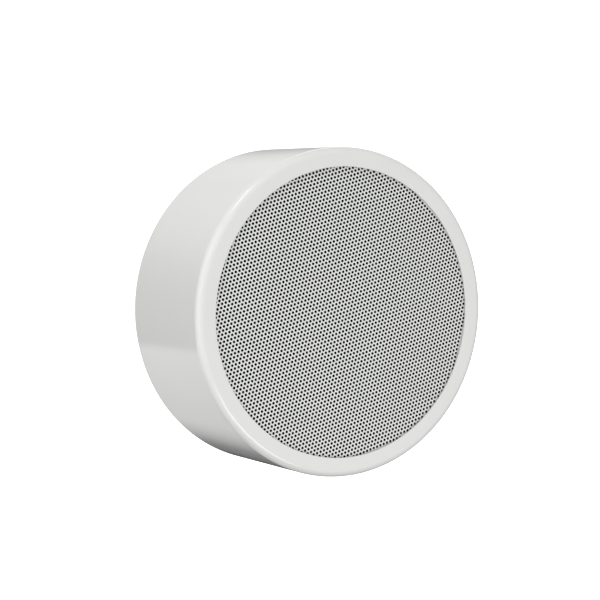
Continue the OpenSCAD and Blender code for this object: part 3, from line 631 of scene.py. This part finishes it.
grille.rotation_euler = (math.pi / 2, 0, 0)
grille.location = (0, sheet_high.y, 0)
done(grille, 50)
grille.data.materials.append(SHEET_PAINT)
grille.data.materials.append(HOLE_WALL_SHADE)
# The hole walls take the second, near-black finish, which is painted shade in the holes.
for face in grille.data.polygons:
    if abs(face.normal.y) < 0.5 and Vector((face.center.x, face.center.z)).length < FIELD_R:
        face.material_index = 1
stands_for(grille, "grille", "drum")
print(hole_count, "holes")

# %% [markdown]
# ## The cloth behind the sheet
#
# A thin black cloth keeps dust out and hides the cone. It is stretched flat between the baffle ring and
# the sheet, so it is flat and needs no simulation. Repeated insets cut the disc into rings, so that its
# faces stay small, and Solidify gives it the thickness of the cloth.

# %% Acoustic cloth
cloth_low, cloth_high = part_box("acoustic_cloth")
CLOTH_T = cloth_high.y - cloth_low.y
bpy.ops.object.select_all(action="DESELECT")
bpy.ops.mesh.primitive_circle_add(
    vertices=128, radius=cloth_high.x, fill_type="NGON",
    location=(0, cloth_low.y + CLOTH_T / 2, 0), rotation=(math.pi / 2, 0, 0))
cloth = started("cloth_disc")
edit(cloth, "FACE")
bpy.ops.mesh.select_all(action="SELECT")
for ring_width in (0.004, 0.012, 0.024, 0.024, 0.020):
    bpy.ops.mesh.inset(thickness=ring_width)
bpy.ops.mesh.poke()
apply(cloth, "SOLIDIFY", thickness=CLOTH_T * 0.9, offset=0)
done(cloth)
cloth.data.materials.append(CLOTH)
stands_for(cloth, "acoustic_cloth", "drum")

# %% [markdown]
# ## Round soft pieces
#
# Foam rings, the rubber roll, the corrugated spider, the paper cone and its dust cap are all round, so
# each is an outline turned once about the drum's axis with the spin operator. The outline is where the
# character is: a gasket's sides are drawn in a little, the roll swells, the spider ripples. The
# outlines start from the CAD boxes, so each piece sits where the solid was.


# %% Outlines for turning
def in_plane(node):
    """A round node's outer radius, and its nearest and furthest depth from the wall."""
    low_corner, high_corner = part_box(node)
    return high_corner.x, -high_corner.y, -low_corner.y


def band(inner, outer, near, far):
    """The outline of a flat ring with softened corners and its sides drawn in a little."""
    r, crown = 0.0002, 0.00015
    middle = (near + far) / 2
    return [(inner + r, near), (outer - r, near), (outer, near + r), (outer - crown, middle),
            (outer, far - r), (outer - r, far), (inner + r, far), (inner, far - r),
            (inner + crown, middle), (inner, near + r)]


def inner_radius(node):
    return min(math.hypot(v.co.x, v.co.z) for v in frame["nodes"][node].data.vertices)


for node in ("grille_gasket", "basket_gasket"):
    outer, near, far = in_plane(node)
    gasket = spun(node + "_pad", band(inner_radius(node), outer, near, far))
    done(gasket, 60)
    gasket.data.materials.append(FOAM)
    stands_for(gasket, node, "drum")

# %% [markdown]
# ## Rubber surround
#
# The half roll that lets the cone move is moulded rubber. It is turned from an outline, which is how the
# mould was cut, so its roll stays even all the way round.

# %% Rubber surround
outer, near, far = in_plane("surround")
ROLL_R, LAND_W, WALL = 0.005, 0.002, 0.0005
roll_middle = outer - LAND_W - ROLL_R
upper = [(roll_middle + ROLL_R * math.cos(math.radians(a)), near + ROLL_R * math.sin(math.radians(a)))
         for a in range(0, 181, 10)]
lower = [(roll_middle + (ROLL_R - WALL) * math.cos(math.radians(a)),
          near + (ROLL_R - WALL) * math.sin(math.radians(a))) for a in range(180, -1, -10)]
surround = spun("rubber_surround", [(outer, near), (outer, near + WALL), (roll_middle + ROLL_R, near + WALL)]
                + upper[1:] + lower)
done(surround, 60)
surround.data.materials.append(RUBBER)
stands_for(surround, "surround", "drum")

# %% [markdown]
# ## Corrugated spider
#
# The spider is a disc of cloth, dipped in resin and pressed hot into rings of waves. The outline
# follows the waves and is turned once round. The waves draw cloth in from the edge, so the blank that is
# cut for it is wider than the finished disc: it has the area of the rippled surface.

# %% Corrugated spider
outer, near, far = in_plane("spider")
SPIDER_T, WAVES, WAVE_H = 0.0005, 4, 0.0008
shelf = (near + far - SPIDER_T) / 2
spider_in = inner_radius("spider")
wave_in, wave_out = spider_in + 0.003, outer - 0.0057
steps = 48
line = [(wave_in + (wave_out - wave_in) * k / steps,
         shelf + WAVE_H * math.sin(2 * math.pi * WAVES * k / steps)) for k in range(steps + 1)]
spider = spun("corrugated_spider", [(spider_in, shelf)] + line + [(outer, shelf), (outer, shelf + SPIDER_T)]
              + [(r, z + SPIDER_T) for r, z in reversed(line)] + [(spider_in, shelf + SPIDER_T)])
done(spider, 60)
spider.data.materials.append(SPIDER_CLOTH)
stands_for(spider, "spider", "drum")
edge = [(spider_in, shelf)] + line + [(outer, shelf)]
blank_area = sum(math.pi * (a[0] + b[0]) * math.dist(a, b) for a, b in zip(edge, edge[1:]))
blank_r = math.sqrt(blank_area / math.pi + spider_in ** 2)
print(f"spider's blank is {blank_r * 2000:.1f} mm across, {blank_area:.5f} square metres")

# %% [markdown]
# ## Cone and dust cap
#
# The cone is pressed paper pulp, straight sided, with three raised rings that stiffen it. The dust cap is
# a shallow dome glued over the coil. Both outlines have an inner and an outer line, so the pieces have
# the thickness of the paper.

# %% Cone and dust cap
outer, near, far = in_plane("cone")
cone_in = inner_radius("cone")
CONE_T = 0.0006
RING_H, RING_HALF_W, RING_START, RING_STEP = 0.0006, 0.0012, 0.010, 0.011


def cone_depth(radius):
    share = (radius - cone_in) / (outer - cone_in)
    return near + (far - CONE_T - near) * share


def ring_swell(radius):
    return sum(RING_H * max(0, 1 - abs(radius - cone_in - RING_START - RING_STEP * k) / RING_HALF_W)
               for k in (1, 2, 3))


steps = 72
radii = [cone_in + (outer - cone_in) * k / steps for k in range(steps + 1)]
cone = spun("paper_cone", [(r, cone_depth(r)) for r in radii]
            + [(r, cone_depth(r) + CONE_T + ring_swell(r)) for r in reversed(radii)])
done(cone, 60)
cap_r, cap_near, cap_far = in_plane("dust_cap")
CAP_T = 0.0005
cap_rise = cap_far - cap_near
ball = (cap_r ** 2 + cap_rise ** 2) / (2 * cap_rise)
sweep_angle = math.asin(cap_r / ball)
arc = [(ball * math.sin(sweep_angle * k / 20), cap_far - ball + ball * math.cos(sweep_angle * k / 20))
       for k in range(21)]
cap = spun("dust_cap_dome", arc + [(r * (1 - CAP_T / ball), max(cap_near, z - CAP_T))
                                   for r, z in reversed(arc)], 96)
done(cap, 60)
for piece, node in ((cone, "cone"), (cap, "dust_cap")):
    piece.data.materials.append(PULP)
    stands_for(piece, node, "cone_assembly")

# %% [markdown]
# ## Eased edges
#
# Sheet metal is tumbled, mouldings have a small radius in every corner and turned parts are broken at
# the edge, so light catches a thin line there. The CAD solids are perfectly sharp. Their meshes are
# loose triangles, so a copy is merged, its flat faces are dissolved into single faces, and a Bevel
# modifier rounds the edges. The copy then stands for the node.


def copy_of(node, name):
    """A merged copy of a CAD node's mesh, ready for edit operators."""
    clear_selection()
    piece = frame["nodes"][node].copy()
    piece.data = frame["nodes"][node].data.copy()
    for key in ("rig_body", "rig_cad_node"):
        if key in piece:
            del piece[key]
    piece.parent = None
    bpy.context.scene.collection.objects.link(piece)
    piece.name = piece.data.name = name
    if piece.data.has_custom_normals:
        bpy.context.view_layer.objects.active = piece
        piece.select_set(True)
        bpy.ops.mesh.customdata_custom_splitnormals_clear()
    edit(piece)
    bpy.ops.mesh.select_all(action="SELECT")
    bpy.ops.mesh.remove_doubles(threshold=2e-6)
    bpy.ops.object.mode_set(mode="OBJECT")
    return piece


def eased(node, width):
    piece = copy_of(node, node + "_eased")
    edit(piece)
    bpy.ops.mesh.select_all(action="SELECT")
    bpy.ops.mesh.dissolve_limited(angle_limit=math.radians(0.5))
    apply(piece, "BEVEL", width=width, segments=2, limit_method="ANGLE",
          angle_limit=math.radians(38), use_clamp_overlap=True)
    done(piece, 30)
    apply(piece, "WEIGHTED_NORMAL", keep_sharp=True)
    return stands_for(piece, node, frame["nodes"][node]["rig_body"])


EDGE_WIDTHS = {
    0.0006: "magnet", 0.0004: "top_plate pole_yoke baffle_ring cable_grommet", 0.0007: "capacitor",
    0.0003: "terminal_block tap_switch tap_knob thermal_fuse transformer_winding",
    0.0002: "wall_plate bracket bayonet_lugs cable_tie transformer_frame basket",
    0.0001: "transformer_core transformer_bobbin tag_board solder_tags terminal_inserts terminal_screws "
            "earth_screw stud_nuts stud_washers switch_nut bracket_screw basket_screws "
            "transformer_screws transformer_nuts transformer_pins front_studs earth_washer",
}
pieces_for = {node: eased(node, width) for width, nodes in EDGE_WIDTHS.items() for node in nodes.split()}


# %% [markdown]
# ## Round wires
#
# Wires were drawn as tubes with a few flat sides. Subdivision turns a merged copy of each into a round
# one; it also draws the ends in a little, like the end of cut insulation.


# %% Round the wires
def rounded(node):
    piece = copy_of(node, node + "_round")
    edit(piece)
    bpy.ops.mesh.select_all(action="SELECT")
    bpy.ops.mesh.tris_convert_to_quads(face_threshold=math.radians(60), shape_threshold=math.radians(60))
    apply(piece, "SUBSURF", levels=1, render_levels=1)
    done(piece, 60)
    return stands_for(piece, node, frame["nodes"][node]["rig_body"])


for node in ("tap_wires", "line_wires", "speaker_wires", "tinsel_leads"):
    pieces_for[node] = rounded(node)

# %% [markdown]
# ## Finishes for every piece
#
# Each piece, and each CAD solid that shows as it is, takes the finish of its real material: zinc plated
# steel for the pressings and fasteners, brass where current passes, nylon and phenolic mouldings, and
# coloured sleeving on the wires. One table keeps the choices together, so a finish is changed in one
# place.

# %% Finish
FINISHES = {
    ZINC: "wall_plate bayonet_lugs front_studs stud_washers stud_nuts basket_screws bracket bracket_screw "
          "transformer_frame transformer_screws transformer_nuts top_plate pole_yoke switch_nut",
    BLACK_STEEL: "basket", FERRITE: "magnet", CORE_STEEL: "transformer_core", COPPER: "voice_coil",
    BRASS: "earth_screw earth_washer solder_tags transformer_pins terminal_inserts terminal_screws",
    RUBBER: "cable_grommet surround", FOAM: "grille_gasket basket_gasket", CLOTH: "acoustic_cloth",
    SPIDER_CLOTH: "spider", PULP: "cone dust_cap", FILM: "coil_former", TAPE: "transformer_winding",
    BOARD: "tag_board", IVORY: "transformer_bobbin cable_tie", RED_DIP: "capacitor",
    BLACK_PLASTIC: "baffle_ring tap_switch tap_knob", CERAMIC: "terminal_block",
    BRIGHT: "thermal_fuse tinsel_leads",
    BLUE_WIRE: "tap_wires", GREY_WIRE: "line_wires", RED_WIRE: "speaker_wires",
}
for finish, nodes in FINISHES.items():
    for node in nodes.split():
        for piece in (frame["nodes"][node], pieces_for.get(node)):
            if piece:
                piece.data.materials.clear()
                piece.data.materials.append(finish)
    print(f"{finish.name}: {nodes}")
